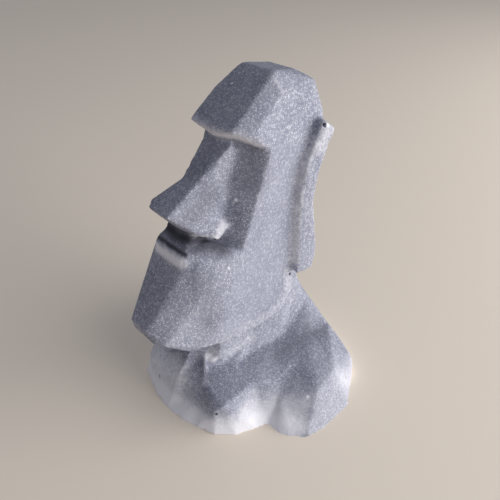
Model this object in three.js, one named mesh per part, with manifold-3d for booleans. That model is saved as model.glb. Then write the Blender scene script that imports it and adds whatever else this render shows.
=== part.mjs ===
// A small moai figure, cast in one piece in a grey stone composite and cut in flat facets.
// Millimetres, +Z up. The face looks along -Y and the figure's left side is +X.
// The origin lies on the underside, at the middle of the figure's outline seen from above.

import * as THREE from 'three';
import { ConvexGeometry } from 'three/addons/geometries/ConvexGeometry.js';
import * as BufferGeometryUtils from 'three/addons/utils/BufferGeometryUtils.js';
import Module from 'manifold-3d';

const wasm = await Module();
wasm.setup();

// Heights above the underside.
const TOP = 110;
const CROWN_EDGE = 105.3;
const BROW_TIP = 91.2;
const MUZZLE_TOP = 63.6;

// Half widths, measured from the middle plane of the face.
const HEAD_HALF = 14;
const EAR_HALF = 18.2;
const EAR_FRONT_HALF = 17.1;
const SHOULDER_HALF = 44;

// The face leans back: its outer edge lies at CHEEK_AT_BROW under the brow and comes forward going down.
const CHEEK_AT_BROW = -5.4;
const FACE_LEAN = 0.395;

const STONE = { color: 0x8f919e, roughness: 0.85, metalness: 0 };

const at = (x, y, z) => new THREE.Vector3(x, y, z);

// The depth of the outer edge of the face at a height.
function cheekDepth(height) {
  return CHEEK_AT_BROW + FACE_LEAN * (height - BROW_TIP);
}

// Corners together with their twins across the middle plane.
function bothSides(corners) {
  return [...corners, ...otherSide(corners)];
}

// The twins alone.
function otherSide(corners) {
  return corners.map((corner) => at(-corner.x, corner.y, corner.z));
}

// The solid with flat facets that is stretched over a set of corners.
function block(corners) {
  const geometry = new ConvexGeometry(corners);
  geometry.deleteAttribute('normal');
  geometry.deleteAttribute('uv');
  return solidFrom(geometry);
}

// A closed solid from loose triangles.
function solidFrom(geometry) {
  const merged = BufferGeometryUtils.mergeVertices(geometry, 1e-4);
  return new wasm.Manifold(new wasm.Mesh({
    numProp: 3,
    vertProperties: new Float32Array(merged.attributes.position.array),
    triVerts: new Uint32Array(merged.index.array),
  }));
}

function join(solids) {
  return solids.reduce((whole, solid) => whole.add(solid));
}

// The tall cap over the brow, with bevelled front corners and a brow that dips over the nose.
function cap() {
  return block([
    ...bothSides([
      at(6.4, 2.8, TOP),
      at(5, 13, 108.4),
      at(10.5, 1.9, CROWN_EDGE),
      at(10.5, 16.3, 105.9),
      at(13.4, 17.5, 95.9),
      at(12.5, -10.3, 96.7),
      at(HEAD_HALF, cheekDepth(BROW_TIP), BROW_TIP),
      at(HEAD_HALF, 16, 88),
    ]),
    at(8.6, -15, 97.9),
    at(-9.1, -14.8, 96.9),
    at(-10.7, -3.8, 103.4),
    at(0, -15.2, 95.4),
    at(0, -9, 90),
    at(0, 19, 100),
  ]);
}

// The body of the head behind the face, from under the cap down to the rim of the jaw.
function skull() {
  return block(bothSides([
    at(HEAD_HALF, cheekDepth(BROW_TIP), BROW_TIP),
    at(HEAD_HALF, cheekDepth(MUZZLE_TOP), MUZZLE_TOP),
    at(5.6, -10.5, BROW_TIP),
    at(5.2, -20, 64),
    at(HEAD_HALF, 16, 88),
    at(HEAD_HALF, -7, 30),
    at(HEAD_HALF, 5.6, 33.5),
    at(HEAD_HALF, 8.6, 38),
    at(12, 12, 50),
    at(10, 17, 70),
  ]));
}

// The jaw, which reaches forward under the face and ends in the chin. Its rim hangs over the neck.
function jaw() {
  return block(bothSides([
    at(6.9, -33.2, 61.7),
    at(4.1, -46.1, 43.5),
    at(4.9, -44.9, 38.6),
    at(8.8, -43.3, 39.1),
    at(10.5, -36.4, 33.3),
    at(13.2, -28.8, 32.5),
    at(HEAD_HALF, -17.5, 29.6),
    at(HEAD_HALF, -7, 28.5),
    at(HEAD_HALF, 0.9, 29.4),
    at(HEAD_HALF, 5.6, 33.3),
    at(HEAD_HALF, cheekDepth(MUZZLE_TOP), MUZZLE_TOP),
    at(HEAD_HALF, -20.9, 53),
    at(HEAD_HALF, -24, 44.5),
    at(HEAD_HALF, -26.7, 38.7),
    at(10.4, -29.9, 62.3),
    at(12.3, -32, 53),
    at(HEAD_HALF, 2, 60),
  ]));
}

// The muzzle under the nose, the slope from it out to the cheeks, and the two lips with the slit
// of the mouth between them.
function mouth() {
  const muzzle = block(bothSides([
    at(5.4, -27, 72.5),
    at(6, -29.3, 68.4),
    at(6.2, -29.4, 61),
    at(4.6, -22, 72),
    at(4.8, -24, 66),
    at(4.8, -19, 62),
  ]));
  const slope = block(bothSides([
    at(6.6, -30, 66.2),
    at(7.3, -24.5, 67.4),
    at(10, -21.5, 65),
    at(10.4, -29.2, 62.4),
    at(13.9, -16.6, 63.7),
    at(13.9, -14, 60),
    at(6, -29, 60),
  ]));
  const upper = block(bothSides([
    at(6, -28.6, 68.6),
    at(6.3, -30.6, 67.6),
    at(6.4, -31.6, 66.5),
    at(6.4, -28.6, 66.5),
    at(5.8, -27, 68.6),
  ]));
  const lower = block([
    ...bothSides([
      at(5.6, -32.8, 65.3),
      at(7, -30.9, 66.4),
      at(7, -33, 63.8),
      at(6.9, -33.2, 61.7),
      at(8.2, -29.6, 64),
      at(10, -27, 62),
      at(7, -27, 60),
    ]),
    at(0, -33.6, 64.6),
  ]);
  return join([muzzle, slope, upper, lower]);
}

// The nose: a bridge that is narrowest at its waist, a broad tip, and a flared wing on each side.
function nose() {
  const bridge = block(bothSides([
    at(5.7, -12.6, 92.8),
    at(3, -23.8, 83.7),
    at(5.7, -8, 90),
    at(4.8, -10, 83),
    at(5, -12, 74),
    at(4, -24, 78),
  ]));
  const tip = block(bothSides([
    at(3, -23.8, 83.7),
    at(5.1, -33.6, 79.8),
    at(4.6, -35.1, 78.3),
    at(3, -30.4, 72.4),
    at(7.6, -21.4, 73.7),
    at(7.3, -25.9, 72),
    at(7.9, -25.6, 69.3),
    at(4.8, -10, 83),
    at(5, -14, 68),
  ]));
  const wing = block(bothSides([
    at(7.6, -21.4, 73.7),
    at(8.9, -16.3, 70.6),
    at(7.3, -25.9, 72),
    at(9.2, -21.2, 67.3),
    at(7.9, -25.6, 69.3),
    at(4, -14, 70),
    at(4, -17, 65.5),
  ]));
  return join([bridge, tip, wing]);
}

// A long ear, flared outward to the back: an upright lobe whose upper end bends back along the cap.
function ear(side) {
  const root = HEAD_HALF - 2;
  const corners = (list) => (side > 0 ? list : otherSide(list));
  const lobe = block(corners([
    at(root, 3.7, 48),
    at(root, 3.9, 60),
    at(root, 4.9, 74),
    at(EAR_FRONT_HALF, 5.7, 46.4),
    at(EAR_FRONT_HALF, 5.6, 58.9),
    at(EAR_FRONT_HALF, 5.1, 74.9),
    at(EAR_HALF, 9.9, 72.9),
    at(EAR_HALF, 10.6, 64),
    at(EAR_HALF, 12.9, 54),
    at(EAR_HALF, 13.1, 48.6),
    at(EAR_HALF, 11.5, 45),
    at(EAR_FRONT_HALF, 5.7, 44.8),
    at(root, 11, 46),
    at(root, 10, 74),
  ]));
  const bend = block(corners([
    at(root, 4.9, 74),
    at(root, 7, 85),
    at(EAR_FRONT_HALF, 5.1, 74.9),
    at(EAR_FRONT_HALF, 6.7, 83.7),
    at(EAR_HALF, 11.7, 82),
    at(EAR_HALF, 9.9, 72.9),
    at(root, 12, 82),
    at(root, 10, 74),
  ]));
  const upper = block(corners([
    at(root, 7, 85),
    at(root, 12.5, 95),
    at(EAR_FRONT_HALF, 6.7, 83.7),
    at(EAR_FRONT_HALF, 12.4, 93.3),
    at(EAR_FRONT_HALF - 0.4, 13.2, 96.2),
    at(EAR_HALF, 17.2, 93.2),
    at(EAR_HALF, 11.7, 82),
    at(root, 18, 93),
    at(root, 12, 82),
    at(root, 16, 96),
  ]));
  return join([lobe, bend, upper]);
}

// One half of the neck and base, as named corners. The other half is its twin.
// Rim corners lie out of sight under the jaw, and foot corners lie on the underside.
const BASE = {
  rimMiddle: at(0, -29.5, 40),
  rimFront: at(4, -28, 40),
  rimChest: at(9, -21.5, 40),
  rimSide: at(9.5, -8.5, 40),
  rimJaw: at(10, -3, 38),
  rimEar: at(11.2, 6, 38),
  rimNape: at(8, 12, 42),
  rimBack: at(0, 13, 44),
  throatMiddle: at(0, -28.5, 21),
  throat: at(3.9, -24.4, 20),
  throatSide: at(8.5, -21.8, 21.8),
  neckFront: at(9.4, -9.1, 18.6),
  neckUnderJaw: at(11, -4.7, 22.6),
  neckUnderEar: at(12.6, 3.9, 25.5),
  nape: at(11.6, 10.9, 35.8),
  napeLow: at(13.1, 16.3, 25),
  neckBackLow: at(13.3, 11.7, 20),
  neckLow: at(12.8, 6.7, 15.8),
  hollow: at(12.1, -0.3, 14.4),
  hollowFront: at(10.1, -10.2, 13.8),
  breastTop: at(10.2, -17.6, 13.3),
  breast: at(7.3, -19.8, 13.7),
  breastFront: at(4.6, -25.8, 13.7),
  chestFront: at(10.2, -30.9, 12.6),
  chestMiddle: at(0, -34.8, 12),
  chestLow: at(18.5, -34.2, 9.1),
  chestCorner: at(20, -31, 11.2),
  chestBack: at(19.7, -17, 11.3),
  chestInner: at(14, -17.8, 12.4),
  armFront: at(22.6, -6.9, 10.8),
  armLow: at(27.2, -11.7, 7.7),
  armCorner: at(36.5, -3.1, 9.2),
  armPeak: at(23.7, 2.8, 12.6),
  armInner: at(18.3, 0.6, 13.2),
  armTop: at(19.4, 8.7, 14.7),
  shoulderTop: at(19.4, 12.5, 15.2),
  shoulderBack: at(21.3, 20.5, 16.1),
  shoulderLow: at(34.7, 8.4, 10.3),
  shoulderFront: at(32.7, 0.7, 10.6),
  shoulderInner: at(15.9, 8.6, 15.2),
  sideTop: at(27.6, 20.9, 11.5),
  sideBack: at(33.5, 20.6, 7.4),
  sideLow: at(36.3, 17.7, 5.8),
  backTop: at(9, 19, 27),
  backLow: at(16, 25, 10),
  backTopMiddle: at(0, 20, 27),
  backLowMiddle: at(0, 27, 10),
  foot0: at(0, -40.5, 0),
  foot1: at(7, -40, 0),
  foot2: at(13, -38.2, 0),
  foot3: at(20, -35.8, 0),
  foot4: at(25, -30.5, 0),
  foot5: at(28, -23.5, 0),
  notch: at(29.3, -19.5, 0),
  foot6: at(34.6, -19.4, 0),
  foot7: at(37.5, -18.3, 0),
  foot8: at(42.3, -13.6, 0),
  foot9: at(SHOULDER_HALF, -6, 0),
  foot10: at(SHOULDER_HALF, 0, 0),
  foot11: at(43.5, 6.8, 0),
  foot12: at(38.9, 14.4, 0),
  foot13: at(34, 22, 0),
  foot14: at(18, 28, 0),
  foot15: at(0, 29.5, 0),
};

// The flat facets between those corners, each named corner by corner.
const BASE_FACETS = [
  'rimNape rimEar nape',
  'rimEar neckUnderEar nape',
  'nape neckUnderEar neckLow neckBackLow napeLow',
  'rimEar rimJaw neckUnderJaw neckUnderEar',
  'rimJaw rimSide neckFront neckUnderJaw',
  'neckUnderEar neckUnderJaw neckFront hollowFront hollow neckLow',
  'rimSide rimChest throatSide neckFront',
  'neckFront throatSide breast breastTop hollowFront',
  'rimChest rimFront throat throatSide',
  'throatSide throat breastFront breast',
  'rimFront rimMiddle throatMiddle throat',
  'throat throatMiddle chestMiddle chestFront',
  'throat chestFront breastFront',
  'napeLow neckBackLow shoulderInner shoulderTop shoulderBack',
  'neckBackLow neckLow shoulderInner',
  'shoulderTop shoulderFront shoulderLow shoulderBack',
  'shoulderTop armTop shoulderFront',
  'shoulderTop shoulderInner armTop',
  'armTop armInner armFront armPeak',
  'armPeak armFront armLow armCorner shoulderFront',
  'armTop armPeak shoulderFront',
  'neckLow hollow armInner armTop shoulderInner',
  'hollow hollowFront chestInner chestBack armFront armInner',
  'hollowFront breastTop chestInner',
  'breastTop breast chestCorner chestBack chestInner',
  'breast breastFront chestFront chestCorner',
  'chestFront chestLow chestCorner',
  'chestFront chestMiddle foot0 foot1 foot2 chestLow',
  'chestLow foot2 foot3 chestCorner',
  'chestCorner foot3 foot4 foot5 chestBack',
  'chestBack foot5 notch armLow armFront',
  'armLow notch foot6 foot7 foot8 armCorner',
  'armCorner foot8 foot9',
  'armCorner foot9 foot10 shoulderLow shoulderFront',
  'shoulderLow foot10 foot11 foot12 sideLow',
  'shoulderBack shoulderLow sideLow sideBack sideTop',
  'sideLow foot12 foot13 sideBack',
  'sideBack foot13 foot14 backLow sideTop',
  'shoulderBack sideTop backLow backTop',
  'napeLow shoulderBack backTop',
  'nape napeLow backTop rimNape',
  'rimBack rimNape backTop backTopMiddle',
  'backTopMiddle backTop backLow backLowMiddle',
  'backLowMiddle backLow foot14 foot15',
];

// The rim under the jaw and the outline of the underside close the solid.
const RIM = ['rimMiddle', 'rimFront', 'rimChest', 'rimSide', 'rimJaw', 'rimEar', 'rimNape', 'rimBack'];
const FOOT = [
  'foot0', 'foot1', 'foot2', 'foot3', 'foot4', 'foot5', 'notch', 'foot6', 'foot7',
  'foot8', 'foot9', 'foot10', 'foot11', 'foot12', 'foot13', 'foot14', 'foot15',
];

// The neck and the spreading base, from the rim under the jaw down to the flat underside.
function base() {
  const positions = [];
  const fan = (corners, mirrored) => {
    const loop = mirrored ? otherSide(corners).reverse() : corners;
    for (let i = 1; i < loop.length - 1; i += 1) {
      for (const corner of [loop[0], loop[i], loop[i + 1]]) {
        positions.push(corner.x, corner.y, corner.z);
      }
    }
  };
  const named = (names) => names.map((name) => BASE[name]);
  const lid = [at(0, -5, 46), ...named(RIM)];
  const floor = [at(0, -5, 0), ...named(FOOT).reverse()];
  const loops = [...BASE_FACETS.map((names) => named(names.split(' '))), lid, floor];
  for (const loop of loops) {
    fan(loop, false);
    fan(loop, true);
  }
  const geometry = new THREE.BufferGeometry();
  geometry.setAttribute('position', new THREE.BufferAttribute(new Float32Array(positions), 3));
  return solidFrom(geometry);
}

function figure() {
  return join([
    cap(), skull(), jaw(), mouth(), nose(), ear(1), ear(-1), base(),
  ]);
}

function toMesh(name, solid) {
  const data = solid.getMesh();
  const geometry = new THREE.BufferGeometry();
  geometry.setAttribute('position', new THREE.BufferAttribute(new Float32Array(data.vertProperties), 3));
  geometry.setIndex(new THREE.BufferAttribute(new Uint32Array(data.triVerts), 1));
  geometry.computeVertexNormals();
  const mesh = new THREE.Mesh(geometry, new THREE.MeshStandardMaterial(STONE));
  mesh.name = name;
  // The corners are drawn from the middle of the neck, so the origin is moved to the middle of the outline.
  geometry.computeBoundingBox();
  mesh.position.y = -(geometry.boundingBox.min.y + geometry.boundingBox.max.y) / 2;
  return mesh;
}

const group = new THREE.Group();
group.add(toMesh('moai_figure', figure()));

export default group;
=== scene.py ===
"""A faceted moai figurine, cast in one piece in grey stone composite, on a plain stage."""

import math

import bpy
import bmesh
import numpy as np
from mathutils import Matrix, Vector, noise


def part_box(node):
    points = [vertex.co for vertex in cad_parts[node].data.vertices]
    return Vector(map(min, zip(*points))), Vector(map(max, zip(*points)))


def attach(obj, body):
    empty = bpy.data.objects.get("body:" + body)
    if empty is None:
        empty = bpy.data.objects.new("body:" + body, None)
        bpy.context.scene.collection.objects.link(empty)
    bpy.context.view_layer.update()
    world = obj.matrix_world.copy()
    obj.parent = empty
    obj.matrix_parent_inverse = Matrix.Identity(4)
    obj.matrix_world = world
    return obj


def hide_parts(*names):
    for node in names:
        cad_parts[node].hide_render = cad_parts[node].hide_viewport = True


bl_info = {
    "name": "Moai Figurine",
    "version": (1, 0, 0),
    "blender": (4, 5, 0),
    "location": "View3D > Sidebar > Moai",
    "description": "Dresses the moai solid as a worn stone casting and sets the stage for it",
    "category": "Object",
}

MM = 0.001
NODE = "moai_figure"
BODY = "root"

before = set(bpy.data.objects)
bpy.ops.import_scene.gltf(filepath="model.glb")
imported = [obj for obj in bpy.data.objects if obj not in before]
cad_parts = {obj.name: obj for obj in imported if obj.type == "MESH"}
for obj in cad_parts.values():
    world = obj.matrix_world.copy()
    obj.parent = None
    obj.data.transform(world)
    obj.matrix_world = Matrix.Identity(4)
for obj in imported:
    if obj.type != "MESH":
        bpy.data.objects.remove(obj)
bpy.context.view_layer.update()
LOW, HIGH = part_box(NODE)
HEIGHT = HIGH.z - LOW.z


# Places on the casting. Each named place is a path of points in mm, its reach in mm and its strength. It
# lies on both sides, unless its path has a point on the right, where x is below zero.

# Where pale powder clings, and where pale is painted as light: light bounced up from the floor under the
# brow, and fill light on the shaded right breast and front of the foot.
POWDER_AND_PAINTED_LIGHT = {
    # Under the brow the pale band is painted light, bounced up from the floor.
    "under the brow": (((0, -6.7, 95.0), (8.6, -5.2, 95.6), (13.4, -1.0, 92.6)), 4.2, 0.8),
    "edge of the nose": (((4.0, -23.0, 72.0), (8.4, -16.4, 69.0)), 1.8, 0.5),
    "nose wing": (((8.4, -10.0, 71.5), (9.1, -13.0, 68.4)), 3.6, 0.62),
    "lower lip": (((0, -25.0, 63.4), (5.6, -24.6, 63.2)), 3.6, 1.0),
    "corner of the jaw": (((8.8, -35, 39.5), (13.2, -20.5, 33)), 1.6, 0.25),
    "rim of the jaw": (((13.6, -16, 31.8), (14, -6.2, 31.5), (14, 4.3, 31), (14, 12.2, 34)), 6.5, 0.3),
    "under the ear": (((14, 12.5, 45), (14, 13.6, 36)), 4.5, 0.4),
    "fore edge of the ear": (
        ((15.7, 13.2, 50), (15.7, 13.2, 66), (15.7, 13.8, 80), (16.3, 18.7, 91)), 3.2, 0.6),
    "top of the ear": (((18, 23, 94), (18, 20, 88)), 5.0, 0.5),
    "throat": (((6, -16, 20), (7, -9, 18), (9, -1, 19)), 6.5, 0.4),
    "under the chin": (((5.4, -16.2, 18.6), (6.2, -15, 17)), 3.4, 0.8),
    # On the right breast, real pale powder and painted fill light on the shaded side.
    "right breast": (((-1.6, -26.6, 11.5), (-11.9, -25.8, 10.3), (-22, -18, 9)), 12.0, 0.72),
    # On the front of the foot, real pale powder and painted fill light where it faces away from the
    # window.
    "front of the foot": (
        ((1.9, -30.1, 3.1), (13.7, -28.4, 3.0), (26.4, -17, 2), (38.2, -4.8, 2.1)), 7.0, 0.75),
    "nape": (((12.7, 14, 20), (12.6, 18, 30)), 4.5, 0.3),
    "corner of the cap": (((7.0, 10.2, 109.0), (10.2, 10.6, 105.4)), 1.5, 0.45),
}

# Where the stone is painted darker: painted shade under the nose and its wing, in the mouth's slit, the
# eye hollow and the crease at the foot of the throat, and the head's painted shadow on the side and bridge
# of the nose. At the lower cheek and the shoulder it is simply darker.
PAINTED_SHADE_PLACES = {
    "under the nose": (((0, -21.5, 69), (5.6, -20, 68.6), (6.6, -15.5, 67.5)), 4.2, 1.0),
    "slit of the mouth": (((0, -23.6, 66.0), (6.6, -23.2, 65.9)), 1.5, 1.0),
    "side of the nose": (((5.4, -20, 77), (5.6, -13, 80)), 7.0, 0.42),
    "eye hollow": (((9.5, -0.5, 90.5), (11, -2, 84)), 8.0, 0.35),
    "bridge of the nose": (((0, -9, 92), (0, -13, 87)), 6.0, 0.3),
    "under the wing": (((6.6, -20.5, 67.2), (8, -16, 67), (10.5, -13, 65.3)), 5.0, 0.8),
    "lower cheek": (((12.0, -21.5, 57), (12.8, -20.5, 44)), 7.5, 0.35),
    "shoulder": (((16.9, 4.6, 12.7), (18.0, 12, 13.8), (22, 24.5, 16)), 7.0, 0.3),
    "foot of the throat": (((4.0, -19.5, 19), (7, -19.3, 16.4), (8, -20.4, 13)), 3.4, 0.7),
}

# Where the facets' edges are worn softest.
WORN = {
    "breast": (((5.0, -17, 20), (10.2, -22.6, 12.6)), 3.5, 1.0),
    "throat": (((8.5, -13.5, 21.8), (10, -2, 16)), 3.0, 0.7),
    "foot of the throat": (((4.0, -19.5, 19), (7, -19.3, 16.4), (8, -20.4, 13)), 5.0, 1.0),
    "corner of the mouth": (((6.6, -25.5, 63), (9.2, -21.5, 62.4)), 3.6, 1.0),
}

# Air holes left by the casting: place in mm, outward direction and width in mm.
AIR_HOLES = (
    ((17.0, 22.0, 95.0), (0.96, -0.2, 0.19), 1.25),
    ((14.0, 13.8, 43.3), (1.0, 0.0, 0.0), 1.1),
    ((-9.2, -28.5, 5.7), (-0.1, -0.9, 0.43), 0.9),
    ((18.9, -25.6, 8.3), (0.82, -0.53, 0.23), 1.0),
)

# Small pale chips: place in mm and reach in mm.
CHIPS = (
    ((17.2, 22.9, 94.5), 1.3),
    ((-3.9, 5.0, 105.7), 0.7),
    ((8.7, -5.6, 77.5), 1.0),
    ((13.5, -13.1, 59.7), 0.8),
    ((23.2, 5.6, 11.0), 1.0),
    ((24.3, 7.2, 11.0), 1.0),
    ((35.1, 2.2, 7.9), 1.2),
)
CHIP_POWDER = 1.2

# The casting's skin: sizes of its lumps, and how deep its edges chip, in mm.
WEAR_PATCH = 7.0
CHIP_SIZE = 3.2
CHIP_DEPTH = 0.5
WAVE_SIZE = 6.0
PIT_SIZE = 1.4

# Rounds of smoothing that find the edges, and that are added where the casting is worn softest.
EDGE_FINDING_ROUNDS = 8
SOFTEST_ROUNDS = 10

# Sizes of the patterns in the stone, in mm.
PATCH_SIZE = 13.0
MOTTLE_SIZE = 0.9
RAGGED_SIZE = 1.3
FOOT_EDGE_SIZE = 9.0
SKIN_SIZE = 0.8
SHEEN_SIZE = 3.0
SKIN_HEIGHT = 0.12

# The foot's powder thins from here outwards to the sides, in mm from the middle, as painted shade on the
# foot's brightly lit side.
FOOT_THIN_FROM = 32.0
FOOT_THIN_TO = 43.0

# Where the camera and the window light stand. The camera's place is in mm from the frame's origin. The
# light's distance and size, and half the floor's side, are in metres.
CAMERA_PLACE = (101.79, -89.32, 148.46)
SENSOR_WIDTH = 36.0
WINDOW_DIRECTION = (0.84, 0.52, 0.17)
WINDOW_DISTANCE = 0.75
WINDOW_SIZE = (1.05, 0.30)
WINDOW_COLOUR = (1.0, 0.985, 0.97)
SKY_COLOUR = (0.88, 0.90, 1.0, 1)
FLOOR_HALF = 2.5


def srgb(code):
    """A colour written as sRGB hex, as linear numbers."""
    parts = [int(code[i:i + 2], 16) / 255 for i in (1, 3, 5)]
    return [p / 12.92 if p <= 0.04045 else ((p + 0.055) / 1.055) ** 2.4 for p in parts]


# Mesh helpers


def points_of(mesh):
    """The places of a mesh's vertices, one row each."""
    points = np.empty(len(mesh.vertices) * 3)
    mesh.vertices.foreach_get("co", points)
    return points.reshape(-1, 3)


def normals_of(mesh):
    """The outward directions at a mesh's vertices, one row each."""
    normals = np.empty(len(mesh.vertices) * 3)
    mesh.vertices.foreach_get("normal", normals)
    return normals.reshape(-1, 3)


def edges_of(mesh):
    """The two vertices of each edge, one row each."""
    edges = np.empty(len(mesh.edges) * 2, dtype=np.int64)
    mesh.edges.foreach_get("vertices", edges)
    return edges.reshape(-1, 2)


def put_points(mesh, points):
    """Moves a mesh's vertices to the given places."""
    mesh.vertices.foreach_set("co", np.ascontiguousarray(points, dtype=np.float32).ravel())
    mesh.update()


def keep_attribute(mesh, name, values):
    """Keeps a number for each vertex, for the material to read."""
    layer = mesh.attributes.get(name) or mesh.attributes.new(name, "FLOAT", "POINT")
    layer.data.foreach_set("value", values.astype(np.float32))


def relaxed(values, edges, rounds, share=0.5):
    """Each value moved towards the mean of its neighbours, a number of times."""
    values = values.astype(float)
    count = np.bincount(edges.ravel(), minlength=len(values)).astype(float)
    count = np.maximum(count, 1)
    flat = values.ndim == 1
    table = values[:, None] if flat else values
    for _ in range(rounds):
        total = np.empty_like(table)
        for k in range(table.shape[1]):
            column = table[:, k]
            total[:, k] = np.bincount(edges[:, 0], weights=column[edges[:, 1]], minlength=len(table))
            total[:, k] += np.bincount(edges[:, 1], weights=column[edges[:, 0]], minlength=len(table))
        table = table + share * (total / count[:, None] - table)
    return table[:, 0] if flat else table


def noise_at(points, size, seed, octaves=3):
    """Fractal noise, about -1 to 1, whose largest lumps are size across."""
    shift = Vector((seed * 13.7, seed * 7.3, seed * 3.1))
    return np.array([
        noise.fractal(Vector(p) / size + shift, 0.6, 2.1, octaves) for p in points
    ])


def smooth_fall(distance, reach):
    """One at the place itself, falling smoothly to nothing at its reach."""
    near = np.clip(1 - distance / reach, 0, 1)
    return near * near * (3 - 2 * near)


def distance_to_path(points, path):
    """How far each point is from a path through the given places."""
    best = np.full(len(points), np.inf)
    for start, end in zip(path[:-1], path[1:]):
        run = end - start
        share = np.clip(((points - start) @ run) / (run @ run), 0, 1)
        best = np.minimum(best, np.linalg.norm(points - start - share[:, None] * run, axis=1))
    return best


def strength_at(points, places):
    """How strongly each point belongs to the named places, here or on the other side."""
    strength = np.zeros(len(points))
    folded = points.copy()
    folded[:, 0] = abs(folded[:, 0])
    for path, reach, most in places.values():
        path = np.array(path, float) * MM
        far = np.minimum(distance_to_path(folded, path), distance_to_path(points, path))
        strength = np.maximum(strength, most * smooth_fall(far, reach * MM))
    return strength


def powder_and_light_at(points):
    """How much pale powder clings to each point, and how much pale is painted there as light."""
    powder_and_light = strength_at(points, POWDER_AND_PAINTED_LIGHT)
    for place, reach in CHIPS:
        far = np.linalg.norm(points - np.array(place) * MM, axis=1)
        powder_and_light = np.maximum(powder_and_light, CHIP_POWDER * smooth_fall(far, reach * MM))
    return powder_and_light


def holes_at(points):
    """How deep each point lies in an air hole, where the stone is painted dark as shade."""
    inside = np.zeros(len(points))
    for place, outward, width in AIR_HOLES:
        mouth = np.array(place) * MM
        bottom = mouth - np.array(outward) * width * MM
        far = distance_to_path(points, [mouth, bottom])
        inside = np.maximum(inside, smooth_fall(far, 0.8 * width * MM))
    return inside


def remeshed_copy(node, name, voxel):
    """A new object with the node's form in an even mesh of small squares."""
    piece = bpy.data.objects.new(name, node.data.copy())
    bpy.context.scene.collection.objects.link(piece)
    piece.data.materials.clear()
    even = piece.modifiers.new("even", "REMESH")
    even.mode = "VOXEL"
    even.voxel_size = voxel
    graph = bpy.context.evaluated_depsgraph_get()
    fine = bpy.data.meshes.new_from_object(piece.evaluated_get(graph))
    piece.modifiers.clear()
    coarse = piece.data
    piece.data = fine
    fine.name = name
    bpy.data.meshes.remove(coarse)
    return piece


# The casting's wear


def wear_of(points, normals, edges, mesh_size):
    """How sharp the edge at each point is, 0 to 1. Smoothing pulls a point in furthest at a sharp edge."""
    wide = relaxed(points, edges, EDGE_FINDING_ROUNDS)
    pull = ((points - wide) * normals).sum(1) / mesh_size
    return relaxed(np.clip(pull * 2.2, 0, 1), edges, 2)


def softened(points, edges, rounding, seed):
    """The points with softened edges, softest in chance patches and in the worn places."""
    soft = relaxed(points, edges, rounding)
    softest = relaxed(points, edges, rounding + SOFTEST_ROUNDS)
    rubbed = np.clip(noise_at(points, WEAR_PATCH * MM, seed) * 1.6, 0, 1)
    rubbed = np.maximum(rubbed, strength_at(points, WORN))[:, None]
    return soft * (1 - rubbed) + softest * rubbed


def skin_depth(points, wear, relief, seed):
    """How far out each point of the skin lies: waves, pits, and chips along the edges."""
    chips = np.clip(noise_at(points, CHIP_SIZE * MM, seed + 1) - 0.25, 0, 1)
    waves = noise_at(points, WAVE_SIZE * MM, seed + 2, 4)
    pits = noise_at(points, PIT_SIZE * MM, seed + 3)
    return relief * (0.7 * waves + 0.6 * pits - 0.4) - CHIP_DEPTH * MM * chips * wear


def open_air_holes(piece, scale):
    """Opens the small round air holes, on a finer mesh just where they are."""
    work = bmesh.new()
    work.from_mesh(piece.data)
    for place, outward, width in AIR_HOLES:
        place = Vector(place) * MM
        outward = Vector(outward).normalized()
        width = width * MM * scale
        place = min(work.verts, key=lambda vertex: (vertex.co - place).length_squared).co.copy()
        for reach in (1.5, 0.9):
            close = [edge for edge in work.edges
                     if min((vertex.co - place).length for vertex in edge.verts) < width * reach]
            bmesh.ops.subdivide_edges(work, edges=close, cuts=1, use_grid_fill=True)
        for vertex in work.verts:
            offset = vertex.co - place
            along = offset.dot(outward)
            across = (offset - outward * along).length / (width / 2)
            if across < 1 and abs(along) < width:
                vertex.co -= outward * width * 0.9 * math.sqrt(1 - across * across)
    work.to_mesh(piece.data)
    work.free()
    piece.data.update()


# Material helpers


def add(tree, kind, settings=None, **inputs):
    """A node with its settings and its inputs. An input is a value or a link, and its key is the socket's
    name, or i and the socket's number where several share a name."""
    node = tree.nodes.new(kind)
    for key, value in (settings or {}).items():
        setattr(node, key, value)
    for key, value in inputs.items():
        numbered = key[0] == "i" and key[1:].isdigit()
        socket = node.inputs[int(key[1:]) if numbered else key.replace("_", " ")]
        if isinstance(value, bpy.types.NodeSocket):
            tree.links.new(value, socket)
        else:
            socket.default_value = value
    return node


def step(tree, value, low, high, out_low=0.0, out_high=1.0):
    """A value taken smoothly from one range to another, held at its ends."""
    settings = {"clamp": True, "interpolation_type": "SMOOTHSTEP"}
    ranges = {"i1": low, "i2": high, "i3": out_low, "i4": out_high}
    return add(tree, "ShaderNodeMapRange", settings, i0=value, **ranges).outputs[0]


def blend_colour(tree, factor, first, second):
    """The first colour, turned to the second by the factor."""
    return add(tree, "ShaderNodeMix", {"data_type": "RGBA"}, i0=factor, i6=first, i7=second).outputs[2]


def arithmetic(tree, operation, *values):
    """The result of an operation on values or links."""
    inputs = {f"i{k}": value for k, value in enumerate(values)}
    return add(tree, "ShaderNodeMath", {"operation": operation}, **inputs).outputs[0]


class MOAI_PG_casting(bpy.types.PropertyGroup):
    mesh_size: bpy.props.FloatProperty(
        name="Mesh size", description="Side of the small squares the casting is meshed in",
        default=0.58 * MM, min=0.2 * MM, max=3 * MM, precision=5, unit="LENGTH")
    edge_rounding: bpy.props.IntProperty(
        name="Edge rounding", description="Rounds of smoothing that wear the facet edges",
        default=1, min=0, max=40)
    relief: bpy.props.FloatProperty(
        name="Relief", description="Depth of the uneven casting surface",
        default=0.07 * MM, min=0, max=1 * MM, precision=5, unit="LENGTH")
    hole_scale: bpy.props.FloatProperty(
        name="Air hole size", description="Size of the air holes, as a share of their usual width",
        default=1.0, min=0.2, max=2.0, subtype="FACTOR")
    seed: bpy.props.IntProperty(
        name="Seed", description="Seed of the chance lumps, chips and worn patches", default=7)


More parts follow.
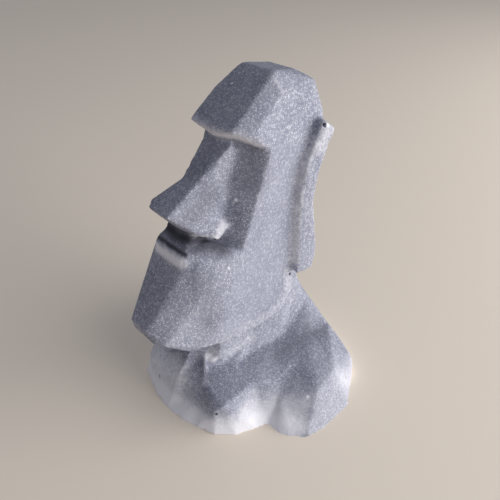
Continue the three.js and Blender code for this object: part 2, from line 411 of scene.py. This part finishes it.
class MOAI_PG_stone(bpy.types.PropertyGroup):
    body_colour: bpy.props.FloatVectorProperty(
        name="Stone", description="Colour of the stone composite",
        default=srgb("#8c8f9e"), subtype="COLOR", size=3, min=0, max=1)
    shade_colour: bpy.props.FloatVectorProperty(
        name="Darker stone", description="Colour of the denser, darker patches",
        default=srgb("#777a8b"), subtype="COLOR", size=3, min=0, max=1)
    grit_colour: bpy.props.FloatVectorProperty(
        name="Grit", description="Colour of the pale grit in the stone",
        default=srgb("#dfe1ea"), subtype="COLOR", size=3, min=0, max=1)
    # The grimy colour is painted shade under the nose and wing, in the mouth's slit, the eye hollow and
    # the air holes.
    painted_shade_colour: bpy.props.FloatVectorProperty(
        name="Grime", description="Colour of the stone where it is grimy",
        default=srgb("#35343f"), subtype="COLOR", size=3, min=0, max=1)
    # Also the colour of painted light under the brow and on the shaded breast and foot.
    powder_and_light_colour: bpy.props.FloatVectorProperty(
        name="Powder", description="Colour of the pale powder on edges and foot",
        default=srgb("#ecebf1"), subtype="COLOR", size=3, min=0, max=1)
    grit_size: bpy.props.FloatProperty(
        name="Grit size", description="Distance between grains of pale grit",
        default=0.42 * MM, min=0.2 * MM, max=3 * MM, precision=5, unit="LENGTH")
    foot_height: bpy.props.FloatProperty(
        name="Foot height", description="Height to which the foot is pale",
        default=12.0 * MM, min=0, max=40 * MM, precision=4, unit="LENGTH")


class MOAI_PG_stage(bpy.types.PropertyGroup):
    floor_colour: bpy.props.FloatVectorProperty(
        name="Floor", description="Colour of the plain floor",
        default=srgb("#f8ecdb"), subtype="COLOR", size=3, min=0, max=1)
    window_power: bpy.props.FloatProperty(
        name="Window light", description="Power of the large side light",
        default=9.0, min=0, unit="POWER")
    fill_strength: bpy.props.FloatProperty(
        name="Fill", description="Strength of the light from all round", default=0.35, min=0)
    camera_turn: bpy.props.FloatProperty(
        name="Camera turn", description="How far round from the front the camera stands",
        default=math.radians(46.2), subtype="ANGLE")
    camera_tilt: bpy.props.FloatProperty(
        name="Camera tilt", description="How far down the camera looks",
        default=math.radians(35.24), subtype="ANGLE")
    camera_lens: bpy.props.FloatProperty(
        name="Lens", description="Focal length of the camera",
        default=36.072, min=10, max=200, unit="CAMERA")


def stone_material(look):
    """Stone-powder composite, cast in a soft mould: matt, full of pale grit, with chalky powder on rubbed
    edges and on the foot. Painted shade darkens the hollows and the nose's shaded side, and painted light
    pales a few shaded places."""
    material = bpy.data.materials.new("cast_stone_composite")
    material.use_nodes = True
    tree = material.node_tree
    tree.nodes.clear()
    where = add(tree, "ShaderNodeTexCoord").outputs["Object"]
    # The darker attribute carries painted shade, and the pale powder attribute carries painted light
    # besides real powder.
    wear, powder_and_light, painted_shade = (
        add(tree, "ShaderNodeAttribute", {"attribute_name": name}).outputs["Fac"]
        for name in ("edge_wear", "powder_and_light", "painted_shade")
    )
    place = add(tree, "ShaderNodeSeparateXYZ", None, Vector=where)
    body, shade, grit_colour, painted_shade_colour, powder_and_light_colour = (
        [*colour, 1]
        for colour in (look.body_colour, look.shade_colour, look.grit_colour, look.painted_shade_colour,
                       look.powder_and_light_colour)
    )

    def moved(shift):
        """The place, shifted so that two patterns don't fall on each other."""
        shifts = (shift, shift * 0.7, shift * 0.3)
        return add(tree, "ShaderNodeMapping", None, Vector=where, Location=shifts).outputs[0]

    def cloud(size, detail, rough, shift):
        """Cloudy noise whose largest lumps are size mm across."""
        scale = 1 / (size * MM)
        return add(tree, "ShaderNodeTexNoise", None, Vector=moved(shift), Scale=scale, Detail=detail,
                   Roughness=rough).outputs["Fac"]

    def grains(spacing, radius, share, shift):
        """Round grains at some of the places, with their radius as a share of their spacing."""
        cell = add(tree, "ShaderNodeTexVoronoi", {"feature": "F1"}, Vector=moved(shift),
                   Scale=1 / spacing, Randomness=1.0)
        chance = add(tree, "ShaderNodeSeparateColor", None, Color=cell.outputs["Color"]).outputs[0]
        kept = step(tree, chance, 1 - share, 1.15 - share * 0.6)
        disc = step(tree, cell.outputs["Distance"], radius, radius * 0.5)
        return arithmetic(tree, "MULTIPLY", disc, kept)

    # Broad, weak patches where the mix set denser, and a mealy mottle under a millimetre across.
    patches = step(tree, cloud(PATCH_SIZE, 3, 0.55, 0.0), 0.3, 0.8)
    colour = blend_colour(tree, patches, body, shade)
    mottle = step(tree, cloud(MOTTLE_SIZE, 4, 0.75, 0.3), 0.44, 0.72, 0, 0.4)
    colour = blend_colour(tree, mottle, colour, grit_colour)

    # Pale grit in three sizes, drawn a little coarser than the real sand so that it shows.
    fine = grains(look.grit_size, 0.42, 0.55, 0.05)
    middle = grains(look.grit_size * 1.6, 0.32, 0.35, 0.11)
    coarse = grains(look.grit_size * 2.8, 0.22, 0.3, 0.23)
    grit = arithmetic(tree, "MAXIMUM", arithmetic(tree, "MAXIMUM", fine, middle), coarse)
    colour = blend_colour(tree, arithmetic(tree, "MULTIPLY", grit, 0.75), colour, grit_colour)

    # Painted shade darkens the stone under the nose and wing, in the mouth's slit, the eye hollow and the
    # air holes, and on the nose's shaded side, and hides its grit there.
    colour = blend_colour(tree, painted_shade, colour, painted_shade_colour)

    # Chalky powder clings in ragged patches where the casting was rubbed, and thinly along every edge. The
    # same pale paints light bounced up under the brow, and fill light on the shaded right breast and front
    # of the foot.
    uneven = arithmetic(tree, "SUBTRACT", cloud(RAGGED_SIZE, 4, 0.7, 0.7), 0.5)
    ragged = arithmetic(tree, "MULTIPLY", uneven, 0.9)
    clinging = step(tree, arithmetic(tree, "ADD", powder_and_light, ragged), 0.1, 0.95, 0, 0.8)
    colour = blend_colour(tree, clinging, colour, powder_and_light_colour)
    rubbed = step(tree, arithmetic(tree, "ADD", wear, ragged), 0.6, 1.2, 0, 0.22)
    colour = blend_colour(tree, rubbed, colour, powder_and_light_colour)

    # The foot fades to the same powder, less so towards the sides, which paints shade on the brightly lit
    # side of the foot.
    uneven = arithmetic(tree, "SUBTRACT", cloud(FOOT_EDGE_SIZE, 4, 0.6, 0.2), 0.5)
    wander = arithmetic(tree, "MULTIPLY", uneven, look.foot_height * 0.8)
    level = arithmetic(tree, "ADD", place.outputs["Z"], wander)
    outward = arithmetic(tree, "ABSOLUTE", place.outputs["X"])
    thinning = step(tree, outward, FOOT_THIN_FROM * MM, FOOT_THIN_TO * MM, 1.0, 0.2)
    foot = arithmetic(tree, "MULTIPLY", step(tree, level, look.foot_height, 0.0, 0, 0.95), thinning)
    colour = blend_colour(tree, foot, colour, powder_and_light_colour)

    # The grit stands a little proud of a rough skin.
    skin = cloud(SKIN_SIZE, 5, 0.7, 0.5)
    height = arithmetic(tree, "ADD", arithmetic(tree, "MULTIPLY", grit, 0.4), skin)
    bump = add(tree, "ShaderNodeBump", None, Height=height, Distance=SKIN_HEIGHT * MM, Strength=0.8)
    rough = step(tree, cloud(SHEEN_SIZE, 3, 0.6, 0.9), 0.3, 0.7, 0.78, 0.93)
    shader = add(tree, "ShaderNodeBsdfPrincipled", None, Base_Color=colour, Roughness=rough,
                 Normal=bump.outputs[0])
    shader.inputs["Metallic"].default_value = 0.0
    shader.inputs["IOR"].default_value = 1.5
    shader.inputs["Specular IOR Level"].default_value = 0.3
    add(tree, "ShaderNodeOutputMaterial", None, Surface=shader.outputs[0])
    return material


class MOAI_OT_casting(bpy.types.Operator):
    """Builds the worn stone casting over the moai solid"""

    bl_idname = "moai.casting"
    bl_label = "Stone casting"

    def execute(self, context):
        shape = context.scene.moai_casting
        piece = remeshed_copy(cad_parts[NODE], "cast_figure", shape.mesh_size)
        mesh = piece.data
        sharp = points_of(mesh)
        normals = normals_of(mesh)
        edges = edges_of(mesh)
        wear = wear_of(sharp, normals, edges, shape.mesh_size)
        points = softened(sharp, edges, shape.edge_rounding, shape.seed)
        points = points + normals * skin_depth(sharp, wear, shape.relief, shape.seed)[:, None]

        # The underside stays flat on what it stands on, and its rim isn't lifted.
        low = sharp[:, 2] < LOW.z + 1.2 * shape.mesh_size
        under = low & (normals[:, 2] < -0.25)
        points[low] = sharp[low]
        points[under, 2] = LOW.z
        put_points(mesh, np.clip(points, np.array(LOW), np.array(HIGH)))
        keep_attribute(mesh, "edge_wear", wear)

        # The holes add points, so powder, painted light and painted shade are laid on afterwards; the air
        # holes are painted dark as shade.
        open_air_holes(piece, shape.hole_scale)
        points = points_of(mesh)
        inside = holes_at(points)
        keep_attribute(mesh, "powder_and_light", powder_and_light_at(points) * (1 - inside))
        keep_attribute(mesh, "painted_shade", np.maximum(strength_at(points, PAINTED_SHADE_PLACES), inside))
        mesh.polygons.foreach_set("use_smooth", [True] * len(mesh.polygons))
        mesh.materials.append(stone_material(context.scene.moai_stone))
        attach(piece, BODY)
        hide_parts(NODE)
        return {"FINISHED"}


def lay_floor(scene, stage):
    """A wide flat floor under the figure."""
    work = bmesh.new()
    bmesh.ops.create_grid(work, x_segments=2, y_segments=2, size=FLOOR_HALF)
    mesh = bpy.data.meshes.new("floor")
    work.to_mesh(mesh)
    work.free()
    floor = bpy.data.objects.new("floor", mesh)
    scene.collection.objects.link(floor)

    # Matt painted board: pale and even, with no gloss.
    paint = bpy.data.materials.new("matt_painted_board")
    paint.use_nodes = True
    shader = paint.node_tree.nodes["Principled BSDF"]
    shader.inputs["Base Color"].default_value = [*stage.floor_colour, 1]
    shader.inputs["Roughness"].default_value = 0.9
    mesh.materials.append(paint)


def hang_window(scene, stage):
    """One broad, low light from the figure's left and behind, as from a window."""
    light = bpy.data.lights.new("window", "AREA")
    light.shape = "RECTANGLE"
    light.size, light.size_y = WINDOW_SIZE
    light.energy = stage.window_power
    light.color = WINDOW_COLOUR
    lamp = bpy.data.objects.new("window", light)
    scene.collection.objects.link(lamp)
    away = Vector(WINDOW_DIRECTION).normalized()
    lamp.location = Vector((0, 0, HEIGHT * 0.45)) + away * WINDOW_DISTANCE
    lamp.rotation_euler = away.to_track_quat("Z", "Y").to_euler()


def fill_room(scene, stage):
    """A weak, slightly blue light from all round."""
    world = bpy.data.worlds.new("room")
    world.use_nodes = True
    sky = world.node_tree.nodes["Background"]
    sky.inputs["Color"].default_value = SKY_COLOUR
    sky.inputs["Strength"].default_value = stage.fill_strength
    scene.world = world
    scene.view_settings.view_transform = "Standard"


def place_camera(scene, stage):
    """The camera, ahead and to the figure's left, looking down at it."""
    camera = bpy.data.cameras.new("camera")
    camera.sensor_width = SENSOR_WIDTH
    camera.lens = stage.camera_lens
    camera.clip_start = 0.01
    holder = bpy.data.objects.new("camera", camera)
    scene.collection.objects.link(holder)
    turn, tilt = stage.camera_turn, stage.camera_tilt
    level = Vector((-math.sin(turn), math.cos(turn), 0))
    ahead = level * math.cos(tilt) - Vector((0, 0, math.sin(tilt)))
    right = Vector((math.cos(turn), math.sin(turn), 0))
    rows = Matrix((right, right.cross(ahead), -ahead)).transposed().to_4x4()
    holder.matrix_world = Matrix.Translation(Vector(CAMERA_PLACE) * MM) @ rows
    scene.camera = holder


class MOAI_OT_stage(bpy.types.Operator):
    """Lays the floor and sets the lights and the camera"""

    bl_idname = "moai.stage"
    bl_label = "Stage"

    def execute(self, context):
        scene = context.scene
        for part in (lay_floor, hang_window, fill_room, place_camera):
            part(scene, scene.moai_stage)
        return {"FINISHED"}


class MOAI_PT_panel(bpy.types.Panel):
    """Sizes, colours and steps of the figurine"""

    bl_idname = "MOAI_PT_panel"
    bl_label = "Moai Figurine"
    bl_space_type = "VIEW_3D"
    bl_region_type = "UI"
    bl_category = "Moai"

    def draw(self, context):
        scene = context.scene
        for group in (scene.moai_casting, scene.moai_stone, scene.moai_stage):
            box = self.layout.box()
            for name in group.__annotations__:
                box.prop(group, name)
        self.layout.operator("moai.casting")
        self.layout.operator("moai.stage")


CLASSES = (
    MOAI_PG_casting, MOAI_PG_stone, MOAI_PG_stage, MOAI_OT_casting, MOAI_OT_stage, MOAI_PT_panel,
)


def register():
    for item in CLASSES:
        bpy.utils.register_class(item)
    bpy.types.Scene.moai_casting = bpy.props.PointerProperty(type=MOAI_PG_casting)
    bpy.types.Scene.moai_stone = bpy.props.PointerProperty(type=MOAI_PG_stone)
    bpy.types.Scene.moai_stage = bpy.props.PointerProperty(type=MOAI_PG_stage)


def unregister():
    del bpy.types.Scene.moai_stage
    del bpy.types.Scene.moai_stone
    del bpy.types.Scene.moai_casting
    for item in reversed(CLASSES):
        bpy.utils.unregister_class(item)


def main():
    register()
    bpy.ops.moai.casting()
    bpy.ops.moai.stage()


if __name__ == "__main__":
    main()
